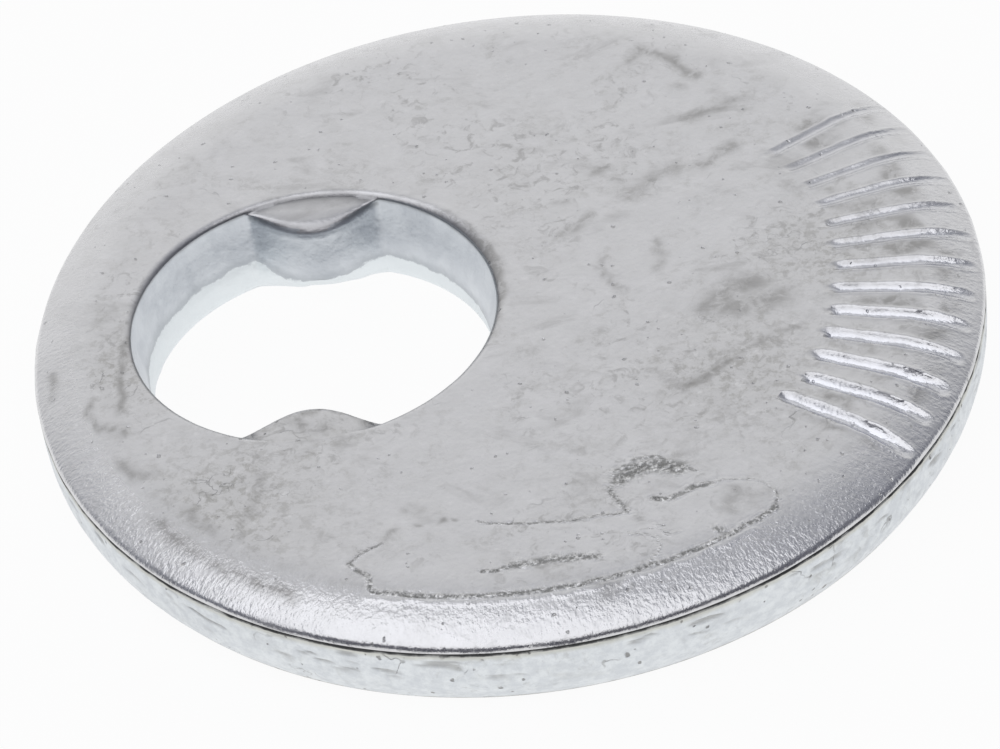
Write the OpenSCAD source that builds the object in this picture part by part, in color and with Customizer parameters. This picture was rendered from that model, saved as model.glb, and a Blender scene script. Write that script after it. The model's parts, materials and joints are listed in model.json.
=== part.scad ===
// Eccentric adjusting washer for a control arm bolt.
// One steel blank, punched from plate: a round cam disc with a rolled top edge,
// an off-centre bolt hole with two key tabs, and a fan of scale lines pressed
// into the top face opposite the hole.
// The underside lies on Z = 0 with the disc's centre at the origin. The middle
// scale line is on +X, the hole lies close to -X, and the key tabs point close to Y.

/* [Cam disc] */
// Diameter across the cam rim
disc_d = 40; // [34:0.5:50]
// Thickness of the plate
disc_t = 4.2; // [3.5:0.1:6]
// How far the rolled top edge reaches in from the rim
roll_w = 3.2; // [2.4:0.1:4]
// How far the rolled edge drops from the top face to the rim's band
roll_drop = 1.1; // [0.9:0.05:1.4]
// Radius of the tight turn at the foot of the rolled edge
roll_turn_r = 0.4; // [0.3:0.05:0.8]
// Height of the straight, sheared band on the rim
band_h = 1.4; // [0.8:0.1:1.8]
// How far the torn lower part of the rim draws in at the underside
tear_draw = 0.64; // [0.2:0.02:0.9]

/* [Keyed hole] */
// Diameter of the bolt that passes through
bolt_d = 14; // [11:0.1:17]
// Clearance of the hole over the bolt, on the diameter
bolt_clearance = 0.6; // [0.2:0.1:0.8]
// Distance from the disc's centre to the hole's centre
eccentricity = 8.05; // [6.5:0.05:10]
// Angle by which the hole's centre lies off the scale's middle line, in degrees
hole_turn = 3; // [-6:0.5:6]
// How far each key tab reaches in from the hole's wall
tab_reach = 1.9; // [1.3:0.1:2.4]
// Width of a key tab at its root
tab_w = 4.8; // [4:0.1:6]
// Angle by which the pair of key tabs is turned from square to the line through both centres, in degrees
tab_turn = 2; // [-8:0.5:8]
// Depth of a key tab's top at its root, below the top face
tab_top_drop = 0.4; // [0.35:0.05:0.6]
// Angle at which the top of a key tab slopes down to its tip, in degrees
tab_top_slope = 10; // [5:1:20]
// Height above the underside to which a key tab's tip is torn away
tab_tear_h = 1.7; // [0.8:0.1:2.2]
// How far a key tab still stands out at the underside
tab_foot = 0.5; // [0.2:0.05:1]
// Width of the rolled edge around the hole's mouth
mouth_roll_w = 0.5; // [0.4:0.05:0.55]
// Radius of the rolled edge around the hole's mouth
mouth_roll_r = 0.6; // [0.6:0.05:1]

/* [Scale] */
// Number of scale lines
line_count = 13; // [5:2:19]
// Angle from one scale line to the next, in degrees
line_pitch = 5.65; // [4:0.05:7]
// Length of a scale line along the disc's radius
line_len = 5.7; // [4:0.1:8]
// Gap between the end of a scale line and the rim
line_rim_gap = 0.5; // [0.4:0.05:1.5]
// Width of a scale line at its inner end
line_w = 0.7; // [0.4:0.05:0.9]
// Depth of a scale line at its inner end
line_depth = 0.24; // [0.15:0.01:0.3]

/* [Hidden] */
$fn = 96;

// How far a cutting shape runs past the faces that it opens
past = 1;

disc_r = disc_d / 2;
hole_r = (bolt_d + bolt_clearance) / 2;

// Rolled edge: a wide arc that leaves the top face level and passes over the
// start of a tight turn, which ends upright on the rim
flat_r = disc_r - roll_w;
band_top = disc_t - roll_drop;
tear_h = band_top - band_h;
turn_x = disc_r - roll_turn_r;
wide_r = (pow(turn_x - flat_r, 2) + pow(roll_drop - roll_turn_r, 2))
    / (2 * (roll_drop - roll_turn_r));

// Key tab: a round nose that is tab_w wide where it meets the hole's wall
tab_r = (pow(tab_w / 2, 2) + pow(tab_reach, 2)) / (2 * tab_reach);
tab_y = hole_r - tab_reach + tab_r;

// Rolled mouth of the hole: the arc stands a hair above the top face, so that
// it leaves the face at a shallow angle
mouth_r = hole_r + mouth_roll_w;
mouth_lift = 0.02;

// Scale lines: a round-bottomed groove that dips outwards, runs over the rolled
// edge and fades out in it near the rim
line_r = (pow(line_w / 2, 2) + pow(line_depth, 2)) / (2 * line_depth);
line_z = disc_t - line_depth + line_r;
line_end = disc_r - line_rim_gap;
line_start = line_end - line_len;
line_end_drop = wide_r - sqrt(pow(wide_r, 2) - pow(line_end - flat_r, 2));
line_dip = atan2(line_end_drop - line_depth, line_len);

// Half section of the disc: torn foot, sheared band and rolled edge
module disc_section() {
    intersection() {
        polygon([
            [0, 0],
            [disc_r - tear_draw, 0],
            [disc_r, tear_h],
            [disc_r, disc_t],
            [0, disc_t]
        ]);
        union() {
            square([flat_r, disc_t]);
            translate([flat_r, disc_t - wide_r]) circle(wide_r);
        }
        union() {
            square([turn_x, disc_t]);
            square([disc_r + past, band_top]);
            translate([turn_x, band_top]) circle(roll_turn_r);
        }
    }
}

// Outline of the hole with its two key tabs
module hole_outline() {
    difference() {
        circle(hole_r);
        for (side = [-1, 1])
            rotate(tab_turn) translate([0, side * tab_y]) circle(tab_r);
    }
}

// Half section of what the rolled mouth and the sloping tab tops leave open
module mouth_section() {
    difference() {
        polygon([
            [0, disc_t - tab_top_drop - hole_r * tan(tab_top_slope)],
            [mouth_r, disc_t - tab_top_drop + mouth_roll_w * tan(tab_top_slope)],
            [mouth_r, disc_t + past],
            [0, disc_t + past]
        ]);
        translate([mouth_r, disc_t - mouth_roll_r + mouth_lift]) circle(mouth_roll_r);
    }
}

// Space below the tabs, where the punch tore the steel away
module tab_tear() {
    draw = (tab_reach - tab_foot) / tab_tear_h;
    foot_r = hole_r - tab_foot + draw * past;
    translate([0, 0, -past]) cylinder(h = foot_r / draw, r1 = foot_r, r2 = 0);
}

// Half section, along its own axis, of a rod with one round end
module rod_section(radius, length) {
    square([radius, length]);
    intersection() {
        circle(radius);
        translate([0, -radius]) square(radius);
    }
}

// One groove of the scale, along +X
module scale_line() {
    translate([line_start, 0, line_z]) rotate([0, 90 + line_dip, 0])
        rotate_extrude() rod_section(line_r, line_len + past);
}

module cam_washer() {
    color([0.74, 0.75, 0.77])
    difference() {
        rotate_extrude() disc_section();
        rotate(hole_turn) translate([-eccentricity, 0, 0]) {
            translate([0, 0, -past]) linear_extrude(disc_t + 2 * past) hole_outline();
            rotate_extrude() mouth_section();
            tab_tear();
        }
        for (step = [0 : line_count - 1])
            rotate([0, 0, (step - (line_count - 1) / 2) * line_pitch]) scale_line();
    }
}

cam_washer();
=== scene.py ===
import json
import math
from collections import namedtuple

import bmesh
import bpy
from mathutils import Matrix, Vector, noise


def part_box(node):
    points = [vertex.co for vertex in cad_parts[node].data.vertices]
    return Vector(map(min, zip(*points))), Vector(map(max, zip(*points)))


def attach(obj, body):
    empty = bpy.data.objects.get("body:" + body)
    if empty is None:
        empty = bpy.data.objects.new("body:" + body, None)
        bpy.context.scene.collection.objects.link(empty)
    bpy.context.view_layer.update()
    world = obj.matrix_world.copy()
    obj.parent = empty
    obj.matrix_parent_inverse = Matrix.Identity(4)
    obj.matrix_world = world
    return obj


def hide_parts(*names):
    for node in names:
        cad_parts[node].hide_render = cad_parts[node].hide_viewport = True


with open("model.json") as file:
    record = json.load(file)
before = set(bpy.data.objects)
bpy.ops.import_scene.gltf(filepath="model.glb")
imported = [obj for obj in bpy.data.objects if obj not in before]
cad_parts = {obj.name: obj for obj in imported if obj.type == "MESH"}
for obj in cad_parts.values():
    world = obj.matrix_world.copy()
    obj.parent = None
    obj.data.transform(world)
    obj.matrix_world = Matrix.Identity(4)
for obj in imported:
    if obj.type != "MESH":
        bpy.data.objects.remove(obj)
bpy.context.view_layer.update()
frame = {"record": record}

# Sizes of the washer, in metres, from the frame where it has them
MM = 0.001
LOW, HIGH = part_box("cam_washer")
MOUNTS = {mount["name"]: mount for mount in frame["record"]["mounts"]}
DISC_R = (HIGH.x - LOW.x) / 2
TOP = HIGH.z
BAND_H = MOUNTS["cam_rim"]["dims"]["length_mm"] * MM
HOLE = Vector(MOUNTS["bolt_hole"]["pos_m"][:2])

# Rim: rolled top edge, upright sheared band and torn foot
ROLL_W = 3.2 * MM
ROLL_DROP = 1.1 * MM
TURN_R = 0.4 * MM
TEAR_DRAW = 0.64 * MM
FLAT_R = DISC_R - ROLL_W
BAND_TOP = TOP - ROLL_DROP
BAND_FOOT = BAND_TOP - BAND_H
SEAM_DEPTH = 0.1 * MM
SEAM_H = 0.1 * MM
EDGE_R = 0.1 * MM
TEAR_CURVE = 0.9
TURN_STEEPEST = math.radians(80)

# Middle point of a small rounded edge, as a part of the edge's radius
ROUND_MIDDLE = 0.3

# Hole: its rolled mouth is widest towards the scale, and narrow at the near tab
HOLE_R = 7.3 * MM
HOLE_FOOT = 0.4 * MM
WALL_OPENS = 1.2 * MM
MOUTH_R = 7.72 * MM
MOUTH_W = 0.6 * MM
MOUTH_LEAST_W = 0.3 * MM
MOUTH_WIDEST = math.radians(20)
MOUTH_SPREAD = math.radians(38)
MOUTH_FADE = 0.7 * MM
MOUTH_CURVE = 1.15
NEAR_TAB_NARROWS = 0.6

# Dark line along the mouth's lip, and painted shade along the edges of the far tab's top
LIP_LINE_W = 0.12 * MM
LIP_LINE_REACH = 0.4 * MM
ARM_LINE_DEPTH = 0.4 * MM
ARM_LINE_W = 0.14 * MM

# Key tabs: a tab's profile gives the part of its reach that it has at each depth in mm below the face
Tab = namedtuple("Tab", "side reach width aside profile")
TAB_TURN = math.radians(5)
TAB_FOOT = 0.8 * MM
TAB_TEAR_H = 1.2 * MM
TAB_ROUNDNESS = 1.3
FAR_TAB = Tab(side=1, reach=1.9 * MM, width=5.8 * MM, aside=0.2 * MM,
              profile=((0.19, 0), (0.24, 0.66), (0.3, 0.79), (0.4, 0.89), (0.6, 0.97), (0.85, 1)))
NEAR_TAB = Tab(side=-1, reach=2.15 * MM, width=5.8 * MM, aside=-0.35 * MM,
               profile=((0.06, 0), (0.1, 0.55), (0.16, 0.82), (0.26, 0.92), (0.45, 0.98), (0.8, 1)))

# Scale lines, counted both ways from the middle one: their width and depth change over the middle ones
LINE_COUNT = 13
LAST_LINE = (LINE_COUNT - 1) // 2
LINES_OF_CHANGE = 4
LINE_PITCH = math.radians(5.65)
LINE_END = DISC_R - 0.4 * MM
LINE_START = LINE_END - 5.8 * MM
LINE_W = 0.66 * MM
LINE_DEPTH = 0.3 * MM
LINE_UNEVEN = 0.3 * MM
LIP_H = 0.02 * MM

# Wear: how far each kind moves the surface
BURR_H = 0.04 * MM
MARK_DEPTH = 0.05 * MM
GRIT_H = 0.14 * MM
DENT_DEPTH = 0.06 * MM
SWELL_H = 0.05 * MM
LUMP_H = 0.008 * MM
SEAM_WAVE = 0.12 * MM
SEAM_RISE = 0.16 * MM
BAND_WAVE = 0.04 * MM
TORN_WAVE = 0.12 * MM

# Mesh density: steps around each ring, rows in each stretch of the section, and cuts in its finest places
AROUND = 360
TEAR_ROWS = 8
BAND_ROWS = 12
TURN_ROWS = 7
ROLL_ROWS = 26
FACE_ROWS = 70
MOUTH_ROWS = 10
SHOULDER_ROWS = 9
SHOULDER_STEP = 0.06 * MM
WALL_ROWS = 15
UNDER_ROWS = 6
SCALE_CUTS = 5
MARK_CUTS = 2

# Rows close below the mouth's lip, in mm
LIP_ROWS = (0.16, 0.13, 0.1, 0.07, 0.04, 0.02)


# Shared modelling steps

def clamp(value, low=0, high=1):
    return min(max(value, low), high)


def start_editing(piece):
    bpy.ops.object.select_all(action="DESELECT")
    bpy.context.view_layer.objects.active = piece
    piece.select_set(True)
    bpy.ops.object.mode_set(mode="EDIT")


def stop_editing():
    bpy.ops.object.mode_set(mode="OBJECT")


def sweep_ring(rows):
    """Extrudes the selected ring of edges through rows of a centre's x and y, a height and a radius."""
    for row, following in zip(rows, rows[1:]):
        move = {"value": [there - here for here, there in zip(row[:3], following[:3])]}
        bpy.ops.mesh.extrude_region_move(TRANSFORM_OT_translate=move)
        factor = following[3] / row[3]
        bpy.ops.transform.resize(value=(factor, factor, 1), center_override=following[:3])


def select_edges(piece, wanted):
    """Selects the edges for which wanted(edge) holds, in edit mode."""
    bpy.ops.mesh.select_mode(type="EDGE")
    bpy.ops.mesh.select_all(action="DESELECT")
    mesh = bmesh.from_edit_mesh(piece.data)
    for edge in mesh.edges:
        if wanted(edge):
            edge.select = True
    mesh.select_flush_mode()
    bmesh.update_edit_mesh(piece.data)


def weigh(piece, weight_of):
    """A weight from 0 to 1 for each point of a piece."""
    return [clamp(weight_of(vertex.co)) for vertex in piece.data.vertices]


def press(piece, name, weights, moves, texture=None):
    """Moves a piece's points as far as their weights say. A texture moves them both ways."""
    group = piece.vertex_groups.new(name=name)
    for index, weight in enumerate(weights):
        if weight > 0.001:
            group.add([index], weight, "REPLACE")
    bpy.context.view_layer.objects.active = piece
    for direction, depth in moves.items():
        modifier = piece.modifiers.new(name, "DISPLACE")
        modifier.vertex_group = name
        modifier.direction = direction
        modifier.strength = depth
        modifier.mid_level = 0.5 if texture else 0.0
        if texture:
            modifier.texture = texture
            modifier.texture_coords = "LOCAL"
        bpy.ops.object.modifier_apply(modifier=modifier.name)
    piece.vertex_groups.clear()


def keep_weights(piece, name, weights):
    """Keeps a weight on each point of a piece, for its material to read."""
    layer = piece.data.attributes.new(name, "FLOAT", "POINT")
    layer.data.foreach_set("value", weights)


def smooth_step(value, start, end):
    """0 at start, 1 at end, with a soft change between them."""
    part = clamp((value - start) / (end - start))
    return part * part * (3 - 2 * part)


def cloud_texture(name, size):
    """A texture of soft clouds of some size."""
    texture = bpy.data.textures.new(name, "CLOUDS")
    texture.noise_scale = size
    texture.noise_depth = 2
    return texture


# Outlines of the stamped blank

def rim_profile():
    """Half section of the rim, from the underside's edge up to the flat of the face."""
    foot = DISC_R - TEAR_DRAW
    points = [(foot - EDGE_R, 0), (foot - ROUND_MIDDLE * EDGE_R, ROUND_MIDDLE * EDGE_R), (foot, EDGE_R)]
    for step in range(1, TEAR_ROWS + 1):
        part = step / TEAR_ROWS
        out = TEAR_DRAW * math.sin(part * math.pi / 2) ** TEAR_CURVE
        points.append((foot + out, EDGE_R + part * BAND_FOOT))
    for step in range(1, BAND_ROWS + 1):
        points.append((DISC_R, EDGE_R + BAND_FOOT + (BAND_H - EDGE_R - SEAM_H) * step / BAND_ROWS))
    points.append((DISC_R - SEAM_DEPTH, BAND_TOP))
    turn_x = DISC_R - TURN_R
    wide_r = ((turn_x - FLAT_R) ** 2 + ROLL_DROP ** 2 - TURN_R ** 2) / (2 * (ROLL_DROP - TURN_R))
    join = math.asin((turn_x - FLAT_R) / (wide_r - TURN_R))
    for step in range(TURN_ROWS):
        angle = TURN_STEEPEST + (join - TURN_STEEPEST) * step / TURN_ROWS
        points.append((turn_x + TURN_R * math.sin(angle), BAND_TOP + TURN_R * math.cos(angle)))
    for step in range(ROLL_ROWS, -1, -1):
        angle = join * step / ROLL_ROWS
        points.append((FLAT_R + wide_r * math.sin(angle), TOP - wide_r + wide_r * math.cos(angle)))
    return points


def mouth_drop(inside, width):
    """Depth below the face of a rolled mouth of some width, so far in from where it leaves the face."""
    radius = MOUTH_CURVE * width
    return radius - math.sqrt(radius ** 2 - clamp(inside, 0, width) ** 2)


LIP = TOP - mouth_drop(MOUTH_W, MOUTH_W)
MOUTH_RAISE = TOP - LIP


def hole_profile():
    """Half section of the hole, from the underside's edge up to the flat of the face."""
    points = [(HOLE_R + HOLE_FOOT, 0), (HOLE_R + ROUND_MIDDLE * HOLE_FOOT, ROUND_MIDDLE * HOLE_FOOT)]
    shoulder = LIP - MOUTH_FADE
    heights = [HOLE_FOOT + (shoulder - HOLE_FOOT) * step / WALL_ROWS for step in range(WALL_ROWS)]
    heights += [shoulder + SHOULDER_STEP * step for step in range(SHOULDER_ROWS)]
    heights += [LIP - drop * MM for drop in LIP_ROWS]
    for height in heights:
        points.append((HOLE_R + (MOUTH_R - HOLE_R) * smooth_step(height, WALL_OPENS, LIP), height))
    for step in range(MOUTH_ROWS, -1, -1):
        inside = MOUTH_W * step / MOUTH_ROWS
        points.append((MOUTH_R + MOUTH_W - inside, TOP - mouth_drop(inside, MOUTH_W)))
    return points


def from_hole(point):
    """Distance of a point from the hole's axis."""
    return math.hypot(point.x - HOLE.x, point.y - HOLE.y)


def mouth_width(point):
    """Width of the rolled mouth at a point's side of the hole."""
    angle = math.atan2(point.y - HOLE.y, point.x - HOLE.x) - MOUTH_WIDEST
    width = MOUTH_LEAST_W + (MOUTH_W - MOUTH_LEAST_W) * math.exp(-(angle / MOUTH_SPREAD) ** 2)
    return width * (1 - NEAR_TAB_NARROWS * tab_bulge(point, NEAR_TAB))


def mouth_weight(point):
    """How far a point is raised where the rolled mouth is narrower than at its widest."""
    if from_hole(point) > MOUTH_R + MOUTH_W:
        return 0
    width = mouth_width(point)
    inside = MOUTH_R + MOUTH_W - from_hole(point)
    raised = mouth_drop(inside, MOUTH_W) - mouth_drop(inside - MOUTH_W + width, width)
    return raised / MOUTH_RAISE * smooth_step(point.z, LIP - MOUTH_FADE, LIP)


def lip_line_and_arm_shade(point):
    """1 along the edge of the hole's mouth, and as painted shade along the edges of the far tab's top, 0 away
    from them.
    """
    beside = max(from_hole(point) - MOUTH_R, 0)
    if beside > LIP_LINE_REACH:
        return 0
    width = mouth_width(point)
    below = max(TOP - mouth_drop(width, width) - point.z, 0)
    far = tab_bulge(point, FAR_TAB)
    near = tab_bulge(point, NEAR_TAB)
    soft = (0.09 + 0.05 * noise.noise(point / (0.8 * MM))) * (1 - 0.75 * min(2 * far, 1))
    lip = math.exp(-(below / (soft * MM)) ** 2 - (beside / LIP_LINE_W) ** 2)
    lip *= 1 - 0.8 * min(2 * near, 1)
    if far < 0.02:
        return lip
    # Painted shade along the edges of the far tab's top, darkening its rounded flanks
    arm = math.exp(-((TOP - point.z - ARM_LINE_DEPTH) / ARM_LINE_W) ** 2)
    return max(lip, arm * (1 - 0.3 * far))


def stands_out(depth, profile):
    """Part of a key tab's reach at a depth in mm below the face."""
    if depth <= profile[0][0]:
        return 0
    for (begin, less), (end, more) in zip(profile, profile[1:]):
        if depth < end:
            return less + (more - less) * (depth - begin) / (end - begin)
    return 1


def tab_bulge(point, tab):
    """Outline of one key tab: 1 at the middle of its width, 0 beside it."""
    away = Vector((point.x - HOLE.x, point.y - HOLE.y))
    across = away.x * math.cos(TAB_TURN) + away.y * math.sin(TAB_TURN) - tab.aside
    along = tab.side * (away.y * math.cos(TAB_TURN) - away.x * math.sin(TAB_TURN))
    if along < 0 or abs(across) >= tab.width / 2:
        return 0
    return (1 - (2 * across / tab.width) ** 2) ** TAB_ROUNDNESS


def tab_weight(point, tab):
    """How far the wall at a point is pushed in to make one key tab."""
    if from_hole(point) > MOUTH_R + 0.01 * MM:
        return 0
    ragged = 0.2 * MM * noise.noise(point / (0.9 * MM))
    torn = clamp((TAB_TEAR_H + ragged - point.z) / TAB_TEAR_H)
    standing = 1 - torn * (1 - TAB_FOOT / tab.reach)
    return tab_bulge(point, tab) * stands_out((TOP - point.z) / MM, tab.profile) * standing


def far_side(line):
    """-1 for the scale lines on the near side, 1 for those on the far side, even between them."""
    return clamp(line / LINES_OF_CHANGE, -1, 1)


def line_place(point):
    """A point's nearest scale line, and how far out from its middle the point lies: 1 is the line's edge."""
    radius = math.hypot(point.x, point.y)
    angle = math.atan2(point.y, point.x)
    line = clamp(round(angle / LINE_PITCH), -LAST_LINE, LAST_LINE)
    half = LINE_W / 2 * (0.84 - 0.16 * far_side(line))
    start = LINE_START + LINE_UNEVEN * noise.noise(Vector((line * 3.7, 0.4, 0))) + half
    end = LINE_END + LINE_UNEVEN * noise.noise(Vector((line * 2.9, 7.3, 0))) - half
    beside = radius * math.sin(angle - line * LINE_PITCH)
    beyond = max(start - radius, radius - end, 0)
    wobble = 1 + 0.18 * noise.noise(point / (0.6 * MM))
    return line, math.hypot(beside, beyond) / half * wobble


def off_scale(point):
    """True for a point that is too low, or too far from the scale, to be on a line."""
    return point.z < BAND_TOP or point.x < DISC_R / 2


def line_weight(point):
    """How deep a point lies in its scale line. The lines on the near side are the deepest."""
    if off_scale(point):
        return 0
    line, out = line_place(point)
    if out >= 1:
        return 0
    deep = 0.64 - 0.34 * far_side(line)
    fade = 1 - 0.7 * smooth_step(math.hypot(point.x, point.y), LINE_END - 1.4 * MM, LINE_END)
    return (1 - out ** 2) * deep * fade * (0.9 + 0.25 * noise.noise(point / (0.9 * MM)))


def lip_weight(point):
    """1 along the edges of the scale lines, where the steel was pushed up."""
    if off_scale(point):
        return 0
    return math.exp(-((line_place(point)[1] - 1.25) / 0.2) ** 2)


# Strokes on the face, each a path in mm, its half width in mm and its strength

def stroke(strength, width, *path):
    """One stroke, with the distance from its start within which it is seen."""
    length = sum(math.dist(begin, end) for begin, end in zip(path, path[1:]))
    return path, width, strength, length + 3 * width


def path_gap(x, y, path):
    """Distance in mm from a place to a path of straight stretches."""
    nearest = math.inf
    for (x1, y1), (x2, y2) in zip(path, path[1:]):
        run, rise = x2 - x1, y2 - y1
        part = clamp(((x - x1) * run + (y - y1) * rise) / (run * run + rise * rise))
        nearest = min(nearest, math.hypot(x - x1 - part * run, y - y1 - part * rise))
    return nearest


def painted(point, strokes, jitter):
    """The strongest of the strokes at a point: 1 in the middle of a full one, 0 away from all."""
    x = point.x / MM + jitter * noise.noise(point / (0.7 * MM))
    y = point.y / MM + jitter * noise.noise(point / (0.6 * MM))
    most = 0
    for path, width, strength, reach in strokes:
        if math.hypot(x - path[0][0], y - path[0][1]) < reach:
            most = max(most, strength * math.exp(-(path_gap(x, y, path) / width) ** 2))
    return most


# Pressed mark along the near edge: its gritty outline, its filled lobe and its streak
MARK_R = 17.8
MARK_TURNS = [math.radians(degrees) for degrees in range(-106, -51, 3)]
MARK_ARC = [(MARK_R * math.cos(turn), MARK_R * math.sin(turn)) for turn in MARK_TURNS]
MARK_JITTER = 0.09
MARK_STROKES = (
    stroke(1, 0.15, *MARK_ARC),
    stroke(0.9, 0.17, (-5.0, -17.0), (-5.1, -16.3), (-5.6, -15.9), (-5.9, -15.6)),
    stroke(0.8, 0.12, (-5.9, -15.6), (-5.4, -15.1), (-5.0, -14.8), (-4.6, -14.6)),
    stroke(0.75, 0.09, (-0.8, -13.7), (-0.4, -13.9), (1.4, -14.0), (3.0, -14.0), (3.7, -13.9), (5.1, -13.8)),
    stroke(0.95, 0.17, (6.1, -13.1), (6.6, -13.2), (7.2, -12.9), (7.7, -12.6), (8.4, -12.5)),
    stroke(0.6, 0.09, (8.4, -12.5), (8.8, -12.3), (9.5, -12.3), (10.1, -12.4), (10.5, -12.6), (10.9, -13.1)),
    stroke(0.8, 0.12, (10.9, -13.1), (11.0, -13.5), (10.8, -14.0)),
    stroke(0.8, 0.1, (4.4, -12.5), (4.6, -11.4), (5.1, -10.9), (5.6, -10.7), (6.3, -10.7), (7.0, -11.2),
           (7.8, -11.7)),
    stroke(0.9, 0.5, (4.8, -11.9), (5.3, -11.4), (5.9, -11.2), (6.5, -11.2), (7.2, -11.5)),
    stroke(0.9, 0.16, (4.4, -12.4), (4.7, -13.1), (5.1, -13.7)),
    stroke(1, 0.15, (-0.6, -16.5), (0.0, -16.5), (0.6, -16.3)),
    stroke(0.85, 0.3, (0.6, -16.3), (2.5, -16.1), (3.9, -16.1)),
    stroke(0.6, 0.07, (5.0, -15.0), (5.7, -15.1), (6.2, -15.3), (6.4, -15.7), (6.3, -16.1), (5.9, -16.7)),
    stroke(0.6, 0.07, (6.3, -14.6), (6.4, -14.9), (6.7, -15.2)),
    stroke(0.5, 0.07, (6.8, -15.2), (7.1, -15.0)),
    stroke(0.8, 0.25, (8.6, -15.0), (8.8, -15.1)),
)

# Where the pressed mark lies, in metres and degrees
MARK_LOWEST = TOP - 0.6 * MM
MARK_LEFT = -7 * MM
MARK_FARTHEST = -10 * MM
MARK_INNER_R = 10.5 * MM
MARK_OUTER_R = 18.6 * MM
MARK_FROM = -113
MARK_TO = -46

# Burr along the outer side of the mark's arc: its angles, its place and its width in mm
BURR_FROM = -107
BURR_TO = -56
BURR_OUT = 0.3
BURR_W = 0.11

# Smudges, spots and scratches of handling
SMUDGE_JITTER = 0.25
SMUDGES = (
    stroke(0.8, 0.28, (5.3, 15.0), (5.9, 15.6), (7.0, 15.1), (7.6, 14.2), (8.4, 13.4)),
    stroke(0.5, 0.3, (7.5, 12.8), (7.7, 12.8)),
    stroke(0.6, 0.22, (7.6, 10.5), (8.6, 10.9), (10.0, 11.5)),
    stroke(0.8, 0.28, (8.2, 7.1), (8.8, 7.7), (9.8, 8.4)),
    stroke(0.5, 0.45, (5.3, 5.6), (6.5, 6.8), (7.3, 7.3)),
    stroke(0.6, 0.25, (3.8, 7.2), (4.3, 7.6)),
    stroke(0.65, 0.24, (2.6, 3.4), (3.1, 3.9), (3.7, 4.6)),
    stroke(0.5, 0.2, (2.2, 5.5), (2.6, 5.6)),
    stroke(0.65, 0.16, (4.1, 1.8), (4.1, 0.8), (5.0, -0.6)),
    stroke(0.5, 0.22, (6.3, 2.6), (6.7, 1.5), (6.4, 0.5)),
    stroke(0.8, 0.55, (8.6, -1.9), (9.4, -0.9), (10.6, -0.6)),
    stroke(0.8, 0.6, (9.2, -2.0), (10.6, -1.9), (11.4, -1.7)),
    stroke(0.6, 0.2, (6.3, -5.5), (7.3, -6.8)),
    stroke(0.85, 0.26, (7.3, -6.8), (8.8, -5.9)),
    stroke(0.75, 0.14, (8.8, -5.9), (10.9, -4.0), (12.3, -3.5)),
    stroke(0.8, 0.18, (-15.8, -1.2), (-16.0, -3.2), (-15.7, -4.9), (-15.8, -5.8)),
    stroke(0.8, 0.17, (-17.1, -5.0), (-17.2, -5.6), (-16.6, -6.6), (-15.5, -7.0)),
    stroke(0.7, 0.25, (-15.7, -8.7), (-14.7, -9.7), (-13.9, -9.6)),
    stroke(0.7, 0.2, (-19.0, -2.7), (-18.8, -3.9)),
    stroke(0.85, 0.3, (-13.9, -12.2), (-11.9, -14.3), (-10.2, -15.5), (-8.0, -17.0)),
    stroke(0.55, 0.15, (-9.6, -9.3), (-9.7, -11.3), (-10.2, -12.8), (-10.3, -13.8)),
    stroke(0.6, 0.25, (-12.4, -11.9), (-12.2, -12.6), (-11.5, -13.1)),
    stroke(0.5, 0.4, (-3.2, -13.0), (-3.0, -13.0)),
    stroke(0.9, 0.15, (-2.3, -13.6), (-2.2, -13.6)),
    stroke(0.7, 0.1, (-1.8, -13.5), (-1.7, -13.5)),
    stroke(0.5, 0.2, (-3.7, -12.6), (-3.6, -12.7)),
    stroke(0.7, 0.1, (-3.3, -13.8), (-3.1, -13.8)),
    stroke(0.7, 0.13, (-4.4, -14.3), (-4.1, -13.8)),
    stroke(0.6, 0.4, (4.1, -17.5), (4.4, -17.9)),
    stroke(0.6, 0.35, (9.3, -12.9), (9.2, -13.9)),
    stroke(0.5, 0.4, (9.9, -13.4), (10.6, -13.2)),
    stroke(0.9, 0.1, (5.3, -17.7), (5.3, -18.1)),
    stroke(0.8, 0.12, (6.9, -17.7), (6.9, -17.8)),
    stroke(0.8, 0.12, (8.5, -17.0), (8.6, -17.1)),
    stroke(0.7, 0.16, (5.5, -14.2), (5.6, -14.2)),
    stroke(1, 0.15, (-8.4, -6.9), (-8.1, -6.4), (-7.3, -6.2), (-6.4, -6.5), (-5.6, -7.2)),
    stroke(0.9, 0.15, (-5.6, -7.2), (-6.4, -7.7), (-7.5, -7.7), (-8.2, -7.3), (-8.4, -6.9)),
)

# Places where the plating is worn the most, each a centre and a radius in mm, and the wear between them
WORN_PLACES = ((-11, -12, 6), (-16, -3, 4), (10, -6, 5), (14, 1, 4))
LEAST_WORN = 0.2


def worn_weight(point):
    """How worn the plating of the face is at a point: 1 in the middle of a worn place."""
    if point.z < BAND_TOP:
        return 0
    gaps = [math.hypot(point.x / MM - x, point.y / MM - y) / size for x, y, size in WORN_PLACES]
    return max(LEAST_WORN, math.exp(-min(gaps) ** 2))


def mark_weight(point):
    """1 on the pressed mark's lines, 0 away from them."""
    if point.z < MARK_LOWEST or point.y > MARK_FARTHEST or point.x < MARK_LEFT:
        return 0
    return painted(point, MARK_STROKES, MARK_JITTER)


def burr_weight(point):
    """1 on the fine burr along the outer side of the pressed mark's arc."""
    angle = math.degrees(math.atan2(point.y, point.x))
    if point.z < MARK_LOWEST or not BURR_FROM < angle < BURR_TO:
        return 0
    out = math.hypot(point.x, point.y) / MM - MARK_R + 0.16 * noise.noise(point / (0.6 * MM))
    return math.exp(-((out - BURR_OUT) / BURR_W) ** 2)


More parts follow.
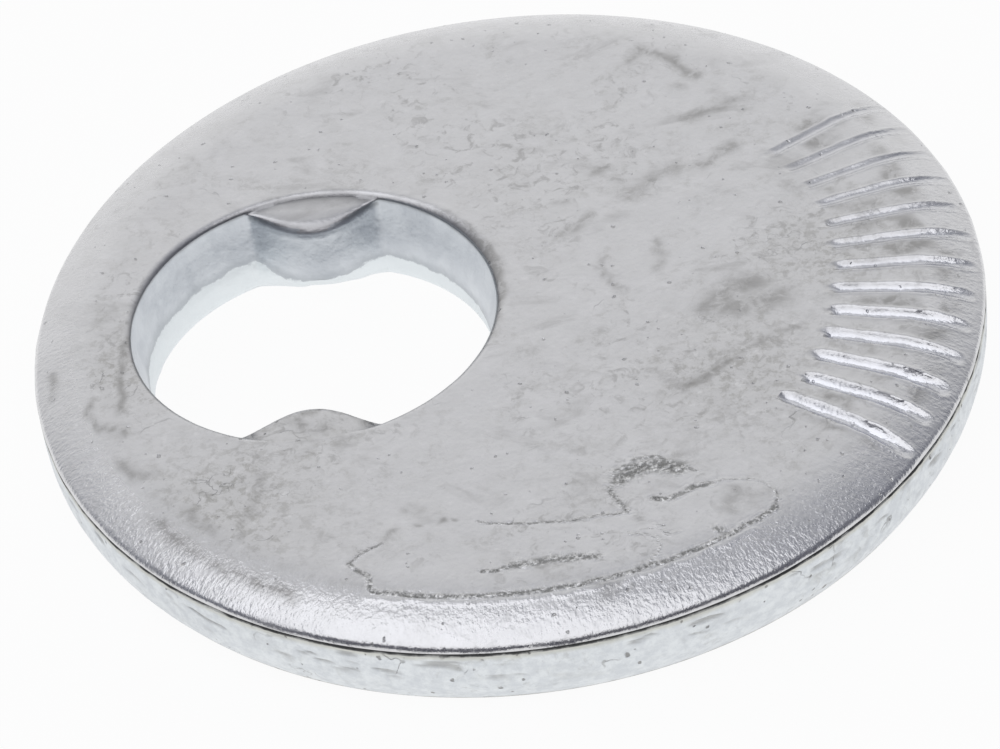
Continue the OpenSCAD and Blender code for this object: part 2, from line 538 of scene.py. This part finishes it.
def smudge_weight(point):
    """How dirty a point of the face is: strokes, the mouth's wide side and patches between the lines."""
    if point.z < BAND_TOP:
        return 0
    dirt = painted(point, SMUDGES, SMUDGE_JITTER)
    width = mouth_width(point)
    ragged = 0.25 * MM * noise.noise(point / (0.9 * MM))
    mouth = smooth_step(MOUTH_R + width - from_hole(point) + ragged, -0.05 * MM, 0.3 * MM)
    dirt = max(dirt, 0.9 * mouth * smooth_step(width, 0.34 * MM, 0.52 * MM))
    radius = math.hypot(point.x, point.y)
    angle = math.atan2(point.y, point.x) / LINE_PITCH
    if abs(angle) < LINE_COUNT / 2:
        between = smooth_step(line_place(point)[1], 1.2, 2.0)
        ring = smooth_step(radius, 14.2 * MM, 15.5 * MM) * (1 - smooth_step(radius, 18.2 * MM, 19.4 * MM))
        patch = smooth_step(noise.noise(Vector((radius / (1.5 * MM), angle * 0.9, 3.1))), -0.1, 0.4)
        dirt = max(dirt, 0.9 * between * ring * patch)
    return dirt


# The washer

def rows_between(first, last, count):
    """Evenly spaced rows between two rows."""
    rows = []
    for step in range(1, count + 1):
        rows.append(tuple(begin + (end - begin) * step / (count + 1) for begin, end in zip(first, last)))
    return rows


def draw_blank():
    """Sweeps one ring up the rim, across the face, down the hole and back along the underside."""
    rim = [(0, 0, height, radius) for radius, height in rim_profile()]
    hole = [(HOLE.x, HOLE.y, height, radius) for radius, height in reversed(hole_profile())]
    face = rows_between(rim[-1], hole[0], FACE_ROWS)
    underside = rows_between(hole[-1], rim[0], UNDER_ROWS)
    bpy.ops.object.select_all(action="DESELECT")
    bpy.ops.mesh.primitive_circle_add(vertices=AROUND, radius=rim[0][3], fill_type="NOTHING")
    blank = bpy.context.active_object
    blank.name = "worn_cam_washer"
    blank.data.name = "worn_cam_washer"
    start_editing(blank)
    bpy.ops.mesh.select_all(action="SELECT")
    sweep_ring(rim + face + hole + underside + rim[:1])
    bpy.ops.mesh.select_all(action="SELECT")
    bpy.ops.mesh.remove_doubles(threshold=0.001 * MM)
    bpy.ops.mesh.normals_make_consistent(inside=False)
    stop_editing()
    return blank


def runs_round(edge):
    """True for an edge that runs round the disc more than outwards."""
    middle = (edge.verts[0].co + edge.verts[1].co) / 2
    run = edge.verts[1].co - edge.verts[0].co
    out = Vector((middle.x, middle.y, 0)).normalized()
    return abs(run.x * out.y - run.y * out.x) > abs(run.dot(out)) + abs(run.z)


def in_scale(point):
    """True on the part of the face that has the scale lines."""
    radius = math.hypot(point.x, point.y)
    most = LINE_PITCH * LINE_COUNT / 2
    inside = LINE_START - 0.8 * MM < radius < DISC_R - 0.05 * MM
    return inside and point.z > BAND_TOP + 0.1 * MM and abs(math.atan2(point.y, point.x)) < most


def in_mark(point):
    """True on the part of the face that has the pressed mark."""
    radius = math.hypot(point.x, point.y)
    angle = math.degrees(math.atan2(point.y, point.x))
    return MARK_INNER_R < radius < MARK_OUTER_R and point.z > BAND_TOP and MARK_FROM < angle < MARK_TO


def refine(piece, place, cuts):
    """Cuts the faces of one place finer around the disc."""
    start_editing(piece)
    select_edges(piece, lambda edge: runs_round(edge) and all(place(end.co) for end in edge.verts))
    bpy.ops.mesh.subdivide(number_cuts=cuts, quadcorner="STRAIGHT_CUT")
    stop_editing()


def on_face(point):
    """1 on the face and its rolled edges, fading to 0 down the walls."""
    return smooth_step(point.z, BAND_TOP + 0.1 * MM, TOP - 0.5 * MM)


def on_seam(point):
    """1 along the seam under the rolled edge."""
    if math.hypot(point.x, point.y) < FLAT_R:
        return 0
    return math.exp(-((point.z - BAND_TOP) / (0.13 * MM)) ** 2)


def on_band(point):
    """1 on the rim's wall, fading to 0 at its two edges."""
    if math.hypot(point.x, point.y) < DISC_R - TEAR_DRAW - EDGE_R / 2:
        return 0
    return smooth_step(point.z, 0, 0.4 * MM) * (1 - smooth_step(point.z, BAND_TOP - 0.4 * MM, BAND_TOP))


def dent_weight(point):
    """1 in the short level dents that lie around the rim's wall."""
    around = math.atan2(point.y, point.x) * DISC_R
    place = Vector((around / (1.1 * MM), point.z / (0.22 * MM), 4.7))
    high = smooth_step(point.z, BAND_FOOT - 0.6 * MM, BAND_FOOT + 0.6 * MM)
    return on_band(point) * high * smooth_step(noise.noise(place), 0.34, 0.5)


def on_torn_wall(point):
    """1 low on the hole's wall, where the punch tore through, 0 elsewhere."""
    if from_hole(point) > HOLE_R + 0.2 * HOLE_FOOT:
        return 0
    return smooth_step(point.z, 0, 0.3 * MM) * (1 - smooth_step(point.z, 1.2 * MM, 1.8 * MM))


def stamp_washer():
    """Draws the blank, pushes in the key tabs, presses the scale lines and adds the wear."""
    washer = draw_blank()
    refine(washer, in_scale, SCALE_CUTS)
    refine(washer, in_mark, MARK_CUTS)
    press(washer, "narrow_mouth", weigh(washer, mouth_weight), {"Z": MOUTH_RAISE})
    # A dark line along the mouth's lip, and painted shade along the edges of the far tab's top
    keep_weights(washer, "lip_line_and_arm_shade", weigh(washer, lip_line_and_arm_shade))
    for tab in (FAR_TAB, NEAR_TAB):
        inwards = -tab.side * tab.reach
        push = {"X": -inwards * math.sin(TAB_TURN), "Y": inwards * math.cos(TAB_TURN)}
        press(washer, "key_tab", weigh(washer, lambda point: tab_weight(point, tab)), push)
    lines = weigh(washer, line_weight)
    mark = weigh(washer, mark_weight)
    dents = weigh(washer, dent_weight)
    keep_weights(washer, "scale_line", lines)
    keep_weights(washer, "pressed_mark", mark)
    keep_weights(washer, "dent", dents)
    keep_weights(washer, "smudge", weigh(washer, smudge_weight))
    keep_weights(washer, "worn", weigh(washer, worn_weight))
    swell = cloud_texture("swell", 3 * MM)
    waves = cloud_texture("waves", 1.8 * MM)
    lumps = cloud_texture("lumps", 0.9 * MM)
    grit = cloud_texture("grit", 0.22 * MM)
    press(washer, "scale_lip", weigh(washer, lip_weight), {"NORMAL": LIP_H})
    press(washer, "mark_burr", weigh(washer, burr_weight), {"NORMAL": BURR_H})
    press(washer, "scale_line", lines, {"NORMAL": -LINE_DEPTH})
    press(washer, "pressed_mark", mark, {"NORMAL": -MARK_DEPTH})
    press(washer, "mark_grit", mark, {"NORMAL": GRIT_H}, grit)
    press(washer, "dent", dents, {"NORMAL": -DENT_DEPTH})
    press(washer, "face_swell", weigh(washer, on_face), {"NORMAL": SWELL_H}, swell)
    press(washer, "face_lumps", weigh(washer, on_face), {"NORMAL": LUMP_H}, lumps)
    press(washer, "seam", weigh(washer, on_seam), {"NORMAL": SEAM_WAVE, "Z": SEAM_RISE}, waves)
    press(washer, "band", weigh(washer, on_band), {"NORMAL": BAND_WAVE}, lumps)
    press(washer, "torn_wall", weigh(washer, on_torn_wall), {"NORMAL": TORN_WAVE}, lumps)
    start_editing(washer)
    bpy.ops.mesh.select_all(action="SELECT")
    bpy.ops.mesh.normals_make_consistent(inside=False)
    stop_editing()
    bpy.ops.object.shade_smooth_by_angle(angle=math.radians(40))
    return washer


# Materials

# Places of the sockets of a colour mix node
MIX_FACTOR = 0
MIX_FIRST = 6
MIX_SECOND = 7
MIX_RESULT = 2


def add_node(tree, kind, values=None, **settings):
    """Adds a node. Each of its values may be a plain value or another node's output."""
    node = tree.nodes.new(kind)
    for name, value in settings.items():
        setattr(node, name, value)
    for socket, value in (values or {}).items():
        if isinstance(value, bpy.types.NodeSocket):
            tree.links.new(value, node.inputs[socket])
        else:
            node.inputs[socket].default_value = value
    return node


def math_node(tree, operation, *values):
    """One sum on up to three values."""
    return add_node(tree, "ShaderNodeMath", dict(enumerate(values)), operation=operation).outputs[0]


def times(tree, first, second):
    return math_node(tree, "MULTIPLY", first, second)


def add_up(tree, start, *parts):
    """Adds parts to a value. Each part has a value and the share of it that counts."""
    total = start
    for value, share in parts:
        total = math_node(tree, "MULTIPLY_ADD", value, share, total)
    return total


def vector_node(tree, operation, *values):
    """One sum on up to three vectors."""
    return add_node(tree, "ShaderNodeVectorMath", dict(enumerate(values)), operation=operation)


def scale_vector(tree, vector, factor):
    return add_node(tree, "ShaderNodeVectorMath", {0: vector, "Scale": factor}, operation="SCALE").outputs[0]


def mix_colour(tree, factor, first, second):
    """Mixes two colours by a mask."""
    values = {MIX_FACTOR: factor, MIX_FIRST: first, MIX_SECOND: second}
    return add_node(tree, "ShaderNodeMix", values, data_type="RGBA").outputs[MIX_RESULT]


def lay_tones(tree, colour, *layers):
    """Lays tones over a colour. Each layer has a mask, an amount and a tone."""
    for mask, amount, tone in layers:
        colour = mix_colour(tree, times(tree, mask, amount), colour, (*tone, 1))
    return colour


def soften(tree, value, start, end, low=0.0, high=1.0):
    """Maps a value from start..end to low..high with soft ends."""
    values = {"Value": value, "From Min": start, "From Max": end, "To Min": low, "To Max": high}
    return add_node(tree, "ShaderNodeMapRange", values, interpolation_type="SMOOTHSTEP").outputs[0]


def noise_mask(tree, place, scale, detail=3.0, rough=0.55, distortion=0.0):
    """A noise pattern with so many features in a metre."""
    values = {"Vector": place, "Scale": scale, "Detail": detail, "Roughness": rough, "Distortion": distortion}
    return add_node(tree, "ShaderNodeTexNoise", values).outputs[0]


def distance_out(tree, place):
    """Distance of a place from the disc's axis, and its direction."""
    level = vector_node(tree, "MULTIPLY", place, (1, 1, 0)).outputs[0]
    length = vector_node(tree, "LENGTH", level).outputs["Value"]
    return length, vector_node(tree, "NORMALIZE", level).outputs[0]


def new_group(name, output, **values):
    """An empty node group that takes a place and named values, and gives one value."""
    tree = bpy.data.node_groups.new(name, "ShaderNodeTree")
    tree.interface.new_socket("Vector", in_out="INPUT", socket_type="NodeSocketVector")
    for socket, value in values.items():
        label = socket.replace("_", " ")
        made = tree.interface.new_socket(label, in_out="INPUT", socket_type="NodeSocketFloat")
        made.default_value = value
    tree.interface.new_socket(output, in_out="OUTPUT", socket_type="NodeSocketFloat")
    return tree, tree.nodes.new("NodeGroupInput"), tree.nodes.new("NodeGroupOutput")


def place_group(tree, group, place, **values):
    """Adds a node group that works on a place, with its named values."""
    named = {socket.replace("_", " "): value for socket, value in values.items()}
    return add_node(tree, "ShaderNodeGroup", {"Vector": place, **named}, node_tree=group).outputs[0]


def handling_stains():
    """Soft grey smears that run one way, and clusters of small blots."""
    tree, given, made = new_group("Handling stains", "Mask", Coverage=0.5)
    place = given.outputs["Vector"]
    more = times(tree, given.outputs["Coverage"], 0.2)
    one_way = {"Vector": place, "Rotation": (0, 0, math.radians(-45)), "Scale": (0.5, 1, 1)}
    turned = add_node(tree, "ShaderNodeMapping", one_way).outputs[0]
    smears = math_node(tree, "ADD", noise_mask(tree, turned, 520, 5, 0.62, 0.6), more)
    smears = times(tree, soften(tree, smears, 0.64, 0.84), 0.8)
    clusters = soften(tree, math_node(tree, "ADD", noise_mask(tree, place, 170, 2), more), 0.56, 0.72)
    blots = soften(tree, noise_mask(tree, place, 1500, 4, 0.65, 0.8), 0.52, 0.68)
    mask = math_node(tree, "MAXIMUM", smears, times(tree, clusters, blots))
    tree.links.new(mask, made.inputs["Mask"])
    return tree


def pinhole_pits():
    """Small round pits, some bigger than others, with bare metal between them."""
    tree, given, made = new_group("Pinhole pits", "Mask", Per_Metre=1500.0, Size=0.3)
    place = given.outputs["Vector"]
    wobble = add_node(tree, "ShaderNodeTexNoise", {"Vector": place, "Scale": 3000.0, "Detail": 2.0})
    bend = scale_vector(tree, wobble.outputs["Color"], 0.3 * MM)
    moved = vector_node(tree, "ADD", place, bend).outputs[0]
    values = {"Vector": moved, "Scale": given.outputs["Per Metre"]}
    cells = add_node(tree, "ShaderNodeTexVoronoi", values, feature="F1")
    chance = add_node(tree, "ShaderNodeSeparateColor", {0: cells.outputs["Color"]}).outputs[0]
    size = times(tree, math_node(tree, "POWER", chance, 3.0), given.outputs["Size"])
    depth = math_node(tree, "SUBTRACT", size, cells.outputs["Distance"])
    tree.links.new(soften(tree, depth, 0.0, 0.12), made.inputs["Mask"])
    return tree


def hairlines():
    """Curved scratches: stretches of the contour lines of a noise."""
    tree, given, made = new_group("Hairlines", "Mask", Per_Metre=260.0)
    place = given.outputs["Vector"]
    hills = noise_mask(tree, place, given.outputs["Per Metre"], 3.0, 0.5, 0.3)
    level = math_node(tree, "ABSOLUTE", math_node(tree, "SUBTRACT", hills, 0.5))
    line = soften(tree, level, 0.003, 0.014, 1.0, 0.0)
    broken = soften(tree, noise_mask(tree, place, 420, 2), 0.56, 0.65)
    tree.links.new(times(tree, line, broken), made.inputs["Mask"])
    return tree


def plating_grain():
    """Orange-peel grain of the plating, as a height."""
    tree, given, made = new_group("Plating grain", "Height", Per_Metre=4200.0)
    grain = noise_mask(tree, given.outputs["Vector"], given.outputs["Per Metre"], 2.5, 0.6)
    tree.links.new(grain, made.inputs["Height"])
    return tree


def drawn_grain():
    """Sharp grain of the rolled edge, drawn out down its slope, as a height."""
    tree, given, made = new_group("Drawn grain", "Height", Per_Metre=5000.0)
    out, way = distance_out(tree, given.outputs["Vector"])
    ring = scale_vector(tree, way, DISC_R)
    slope = add_node(tree, "ShaderNodeCombineXYZ", {"Z": times(tree, out, 0.7)}).outputs[0]
    drawn = vector_node(tree, "ADD", ring, slope).outputs[0]
    grain = noise_mask(tree, drawn, given.outputs["Per Metre"], 2.0, 0.6)
    tree.links.new(grain, made.inputs["Height"])
    return tree


def new_material(name):
    """A bare metal material, its Principled shader and the piece's own coordinates."""
    material = bpy.data.materials.new(name)
    material.use_nodes = True
    tree = material.node_tree
    shader = tree.nodes["Principled BSDF"]
    shader.inputs["Metallic"].default_value = 1.0
    place = tree.nodes.new("ShaderNodeTexCoord").outputs["Object"]
    return material, tree, shader, place


def feed_shader(tree, shader, colour, rough, relief, depth):
    """Gives a shader its colour, its roughness and a relief of some depth."""
    bump = add_node(tree, "ShaderNodeBump", {"Height": relief, "Distance": depth})
    for socket, value in (("Base Color", colour), ("Roughness", rough), ("Normal", bump.outputs[0])):
        tree.links.new(value, shader.inputs[socket])


def kept_weight(tree, name):
    """A weight that was kept on the piece's points."""
    return add_node(tree, "ShaderNodeAttribute", attribute_name=name).outputs["Fac"]


def plated_face(effects):
    """Worn zinc plating on the face and its rolled edges."""
    material, tree, shader, place = new_material("worn_zinc_plating")
    worn = kept_weight(tree, "worn")
    groove = kept_weight(tree, "scale_line")
    mark = kept_weight(tree, "pressed_mark")
    mouth = kept_weight(tree, "lip_line_and_arm_shade")
    stains = place_group(tree, effects["stains"], place, Coverage=0.5)
    pits = place_group(tree, effects["pits"], place, Per_Metre=2100, Size=0.24)
    grain = place_group(tree, effects["grain"], place, Per_Metre=4200)
    drawn = place_group(tree, effects["drawn"], place, Per_Metre=6600)
    speckle = noise_mask(tree, place, 5600, 2, 0.6)

    # The rolled edge takes less of the wear than the level face, and the worn places take the most
    rolled = soften(tree, distance_out(tree, place)[0], FLAT_R + 0.2 * MM, FLAT_R + 1.6 * MM)
    level = add_up(tree, 1.0, (rolled, -0.7))
    spread = times(tree, level, add_up(tree, 0.3, (worn, 0.7)))
    stained = times(tree, stains, level)
    lines = place_group(tree, effects["lines"], place, Per_Metre=420)
    scribbles = times(tree, place_group(tree, effects["lines"], place, Per_Metre=860), worn)
    lines = times(tree, math_node(tree, "MAXIMUM", lines, scribbles), spread)
    patches = soften(tree, noise_mask(tree, place, 430, 5, 0.65, 0.7), 0.44, 0.64)
    patches = math_node(tree, "MAXIMUM", patches, times(tree, worn, 0.9))
    flecks = soften(tree, noise_mask(tree, place, 1900, 6, 0.75, 0.2), 0.46, 0.62)
    dull = times(tree, patches, add_up(tree, 0.25, (flecks, 0.75)))
    dull = times(tree, dull, spread)
    bright = soften(tree, noise_mask(tree, place, 1700, 5, 0.7), 0.56, 0.7)
    bright = times(tree, bright, spread)

    # Dirt in the smudges, and dark and light grit in the pressed mark
    patchy = soften(tree, noise_mask(tree, place, 1300, 5, 0.7, 0.5), 0.36, 0.58, 0.35, 1.0)
    dirt = times(tree, kept_weight(tree, "smudge"), patchy)
    core = soften(tree, mark, 0.3, 0.9)
    dark_grit = times(tree, core, soften(tree, speckle, 0.44, 0.56, 1.0, 0.0))
    light_grit = times(tree, mark, soften(tree, speckle, 0.57, 0.67))

    clouds = noise_mask(tree, place, 900, 4, 0.6)
    zinc = mix_colour(tree, clouds, (0.67, 0.67, 0.68, 1), (0.77, 0.77, 0.79, 1))
    colour = lay_tones(
        tree, zinc,
        (dull, 0.95, (0.45, 0.445, 0.435)),
        (bright, 0.4, (0.9, 0.9, 0.92)),
        (stained, 0.6, (0.45, 0.445, 0.44)),
        (dirt, 0.9, (0.33, 0.325, 0.32)),
        (lines, 0.7, (0.28, 0.28, 0.28)),
        (pits, 0.5, (0.28, 0.28, 0.28)),
        # dark line along the mouth's lip, and painted shade along the far tab's top edges
        (mouth, 0.75, (0.25, 0.25, 0.26)),
        (core, 0.35, (0.36, 0.36, 0.35)),
        (dark_grit, 0.7, (0.16, 0.16, 0.155)),
        (light_grit, 1.0, (0.9, 0.9, 0.9)),
        (groove, 1.0, (0.8, 0.81, 0.86)),
    )
    rough = add_up(tree, 0.35, (stains, 0.1), (rolled, -0.08), (groove, -0.1))
    peel = times(tree, drawn, times(tree, rolled, 0.9))
    mark_grit = times(tree, speckle, mark)
    groove_grit = times(tree, speckle, groove)
    relief = add_up(tree, peel, (grain, 0.5), (pits, -0.9), (lines, -0.3), (mark_grit, 3.0),
                    (groove_grit, 0.8))
    feed_shader(tree, shader, colour, rough, relief, 0.035 * MM)
    return material


def sheared_band(effects):
    """Pale sheared steel of the rim's wall, plated over, with a painted shade line in the seam above it and a
    brown foot.
    """
    material, tree, shader, place = new_material("sheared_rim_band")
    stains = place_group(tree, effects["stains"], place, Coverage=0.5)
    pits = place_group(tree, effects["pits"], place, Per_Metre=2200, Size=0.3)
    lines = place_group(tree, effects["lines"], place, Per_Metre=520)
    grain = place_group(tree, effects["grain"], place, Per_Metre=2600)
    dent = kept_weight(tree, "dent")
    height = add_node(tree, "ShaderNodeSeparateXYZ", {0: place}).outputs["Z"]
    wave = add_up(tree, height, (noise_mask(tree, place, 1200, 3), 0.24 * MM))
    # Painted shade: a near-black line in the crease of the seam under the rolled edge
    seam = soften(tree, wave, BAND_TOP, BAND_TOP + 0.07 * MM)
    top = soften(tree, wave, BAND_TOP - 0.3 * MM, BAND_TOP)
    foot = soften(tree, wave, 0.12 * MM, 0.26 * MM, 1.0, 0.0)
    clouds = soften(tree, noise_mask(tree, place, 1900, 5, 0.7), 0.35, 0.65)
    metal = mix_colour(tree, clouds, (0.75, 0.78, 0.81, 1), (0.87, 0.9, 0.92, 1))
    colour = lay_tones(
        tree, metal,
        (stains, 0.35, (0.5, 0.51, 0.5)),
        (top, 0.5, (0.6, 0.58, 0.48)),
        (foot, 0.7, (0.36, 0.34, 0.28)),
        # painted shade in the seam's crease
        (seam, 0.95, (0.08, 0.08, 0.08)),
        (dent, 0.5, (0.33, 0.32, 0.3)),
        (lines, 0.5, (0.3, 0.3, 0.29)),
        (pits, 0.7, (0.22, 0.21, 0.2)),
    )
    rough = add_up(tree, 0.48, (grain, 0.1))
    relief = add_up(tree, grain, (pits, -1.0), (lines, -0.8))
    feed_shader(tree, shader, colour, rough, relief, 0.03 * MM)
    return material


def punched_wall(effects):
    """The hole's wall: burnished and darkening down to a ragged line, torn and pale below it."""
    material, tree, shader, place = new_material("punched_hole_wall")
    grain = place_group(tree, effects["grain"], place, Per_Metre=2400)
    mouth = kept_weight(tree, "lip_line_and_arm_shade")
    parts = add_node(tree, "ShaderNodeSeparateXYZ", {0: place}).outputs
    unevenness = noise_mask(tree, place, 420, 5, 0.65)
    ragged = add_up(tree, parts["Z"], (unevenness, 1.4 * MM), (parts["X"], 0.04))
    torn = soften(tree, ragged, 1.62 * MM, 1.76 * MM, 1.0, 0.0)
    shade = soften(tree, ragged, 1.66 * MM, 2.3 * MM, 1.0, 0.0)
    drawn = add_node(tree, "ShaderNodeMapping", {"Vector": place, "Scale": (1, 1, 0.3)}).outputs[0]
    streaks = noise_mask(tree, drawn, 900, 4, 0.6)
    clouds = soften(tree, noise_mask(tree, place, 560, 4, 0.6, 0.5), 0.38, 0.62)
    metal = mix_colour(tree, streaks, (0.53, 0.56, 0.6, 1), (0.74, 0.77, 0.81, 1))
    colour = lay_tones(
        tree, metal,
        (clouds, 0.35, (0.82, 0.85, 0.88)),
        (shade, 0.6, (0.4, 0.43, 0.46)),
        (torn, 1.0, (0.88, 0.92, 0.94)),
        # dark line along the mouth's lip, and painted shade along the far tab's top edges
        (mouth, 0.7, (0.26, 0.27, 0.28)),
    )
    rough = add_up(tree, 0.4, (torn, 0.15))
    relief = add_up(tree, grain, (torn, -0.4))
    feed_shader(tree, shader, colour, rough, relief, 0.025 * MM)
    return material


def on_hole_wall(polygon):
    """True for a face of the hole's wall. The tabs' tops aren't steep enough to count."""
    middle = polygon.center
    steep = polygon.normal.z < 0.6 or middle.z < TOP - 1.2 * MM
    outermost = MOUTH_R + 0.05 * MM if middle.z > TOP / 2 else HOLE_R + HOLE_FOOT
    return steep and from_hole(middle) < outermost


def on_rim_wall(polygon):
    """True for a face of the rim's wall, up to the seam under the rolled edge."""
    middle = polygon.center
    outside = math.hypot(middle.x, middle.y) > DISC_R - TEAR_DRAW - EDGE_R
    return outside and middle.z < BAND_TOP + 0.06 * MM


# Places of two of the finishes in the washer's list of materials
BAND_FINISH = 1
WALL_FINISH = 2


def finish_washer(washer):
    """Gives each part of the washer its own finish."""
    effects = {"stains": handling_stains(), "pits": pinhole_pits(), "lines": hairlines(),
               "grain": plating_grain(), "drawn": drawn_grain()}
    for material in (plated_face(effects), sheared_band(effects), punched_wall(effects)):
        washer.data.materials.append(material)
    for polygon in washer.data.polygons:
        if on_hole_wall(polygon):
            polygon.material_index = WALL_FINISH
        elif on_rim_wall(polygon):
            polygon.material_index = BAND_FINISH


# Studio: a white floor, a softbox overhead and a room that darkens towards the camera
CAMERA_TURN = math.radians(6.7)
CAMERA_TILT = math.radians(41.75)
CAMERA_ROLL = math.radians(-8.69)
CAMERA_AWAY = 180 * MM
CAMERA_ACROSS = 0.62 * MM
CAMERA_UP = 0.39 * MM
CAMERA_LENS = 152.7
FLOOR_SIZE = 3.0
FLOOR_COLOUR = (0.9, 0.9, 0.9, 1)
FLOOR_WHITENESS = 0.94

# Colours of the room, and where each lies on the way from behind the washer, 0, to behind the camera, 1
ROOM_BACK = (0.86, 0.86, 0.86)
ROOM_BACK_AT = 0.1
ROOM_SIDES = (0.25, 0.26, 0.3)
ROOM_SIDES_AT = 0.45
ROOM_FRONT = (0.08, 0.08, 0.1)
ROOM_FRONT_AT = 0.9


def place_camera():
    """Sets the camera where the photo was taken from."""
    turn = Matrix.Rotation(CAMERA_TURN, 3, "Z")
    right = turn @ Vector((1, 0, 0))
    forward = turn @ Vector((0, math.cos(CAMERA_TILT), -math.sin(CAMERA_TILT)))
    up = turn @ Vector((0, math.sin(CAMERA_TILT), math.cos(CAMERA_TILT)))
    across = right * math.cos(CAMERA_ROLL) + up * math.sin(CAMERA_ROLL)
    upward = up * math.cos(CAMERA_ROLL) - right * math.sin(CAMERA_ROLL)
    place = -(across * CAMERA_ACROSS + upward * CAMERA_UP + forward * CAMERA_AWAY)
    lens = bpy.data.cameras.new("camera")
    lens.lens = CAMERA_LENS
    lens.clip_start = 10 * MM
    camera = bpy.data.objects.new("camera", lens)
    bpy.context.scene.collection.objects.link(camera)
    camera.matrix_world = Matrix.Translation(place) @ Matrix((across, upward, -forward)).transposed().to_4x4()
    bpy.context.scene.camera = camera


def place_lamp(name, azimuth, elevation, away, width, height, power):
    """A soft oblong lamp that points at the washer."""
    light = bpy.data.lights.new(name, "AREA")
    light.shape = "RECTANGLE"
    light.size = width
    light.size_y = height
    light.energy = power
    lamp = bpy.data.objects.new(name, light)
    bpy.context.scene.collection.objects.link(lamp)
    around = math.radians(azimuth)
    above = math.radians(elevation)
    flat = math.cos(above)
    side = Vector((flat * math.cos(around), flat * math.sin(around), math.sin(above)))
    lamp.location = side * away
    lamp.rotation_euler = side.to_track_quat("Z", "Y").to_euler()


def seen_as_background(tree):
    """1 for rays that see the backdrop directly, in metal or through glass, 0 for rays that light things."""
    path = tree.nodes.new("ShaderNodeLightPath")
    seen = math_node(tree, "MAXIMUM", path.outputs["Is Camera Ray"], path.outputs["Is Glossy Ray"])
    return math_node(tree, "MAXIMUM", seen, path.outputs["Is Transmission Ray"])


def lay_floor():
    """A white floor that keeps a soft shadow."""
    bpy.ops.object.select_all(action="DESELECT")
    bpy.ops.mesh.primitive_plane_add(size=FLOOR_SIZE)
    floor = bpy.context.active_object
    floor.name = "floor"
    material = bpy.data.materials.new("white_floor")
    material.use_nodes = True
    tree = material.node_tree
    tree.nodes.remove(tree.nodes["Principled BSDF"])
    matt = add_node(tree, "ShaderNodeBsdfDiffuse", {"Color": FLOOR_COLOUR})
    white = add_node(tree, "ShaderNodeEmission", {"Color": (1, 1, 1, 1), "Strength": 1.0})
    seen = times(tree, seen_as_background(tree), FLOOR_WHITENESS)
    mix = add_node(tree, "ShaderNodeMixShader", {0: seen, 1: matt.outputs[0], 2: white.outputs[0]})
    tree.links.new(mix.outputs[0], tree.nodes["Material Output"].inputs["Surface"])
    floor.data.materials.append(material)


def light_room():
    """A pale wall behind the washer, dimmer at the sides and dark behind the camera."""
    world = bpy.data.worlds.new("studio")
    world.use_nodes = True
    bpy.context.scene.world = world
    tree = world.node_tree
    way = tree.nodes.new("ShaderNodeTexCoord").outputs["Generated"]
    to_camera = (math.sin(CAMERA_TURN), -math.cos(CAMERA_TURN), 0)
    front = vector_node(tree, "DOT_PRODUCT", way, to_camera).outputs["Value"]
    side = add_node(tree, "ShaderNodeMapRange", {"Value": front, "From Min": -1.0, "From Max": 1.0})
    walls = add_node(tree, "ShaderNodeValToRGB", {0: side.outputs[0]})
    first, last = walls.color_ramp.elements
    first.color = (*ROOM_BACK, 1)
    first.position = ROOM_BACK_AT
    last.color = (*ROOM_FRONT, 1)
    last.position = ROOM_FRONT_AT
    walls.color_ramp.elements.new(ROOM_SIDES_AT).color = (*ROOM_SIDES, 1)
    tree.links.new(walls.outputs[0], tree.nodes["Background"].inputs["Color"])


washer = stamp_washer()
finish_washer(washer)
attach(washer, "root")
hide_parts("cam_washer")
place_camera()
lay_floor()
light_room()
place_lamp("overhead_softbox", azimuth=-113, elevation=69, away=0.5, width=0.8, height=0.55, power=1.42)
bpy.context.scene.view_settings.view_transform = "Standard"
